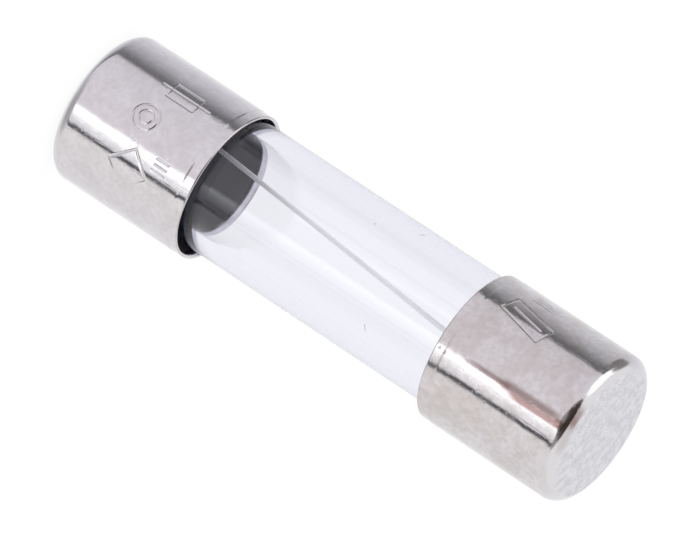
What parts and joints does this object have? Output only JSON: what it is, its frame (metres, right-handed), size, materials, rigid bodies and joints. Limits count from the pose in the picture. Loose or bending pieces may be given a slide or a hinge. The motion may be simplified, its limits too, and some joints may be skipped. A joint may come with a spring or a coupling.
{
  "type": "glass cartridge fuse",
  "caption": "Small clear glass tube fuse with a plain drawn metal cap on each end and a thin slanting fuse wire inside, standing on one end cap.",
  "frame": {"origin": "centre of the lower end cap's flat end face, on the surface the fuse stands on", "axes": "+Z along the fuse from the lower cap to the upper one; +X is the side away from which the tube sits slightly off the caps' axis; the two ends are otherwise alike"},
  "size_m": [0.0052, 0.0052, 0.02],
  "materials": {
    "nickel_plated_brass": "satin",
    "clear_glass": "polished",
    "tinned_copper_wire": "satin",
    "solder": "satin"
  },
  "bodies": {
    "root": {"lower_end_cap": "nickel_plated_brass", "upper_end_cap": "nickel_plated_brass", "glass_tube": "clear_glass", "fuse_wire": "tinned_copper_wire", "lower_solder": "solder", "upper_solder": "solder"}
  },
  "joints": []
}
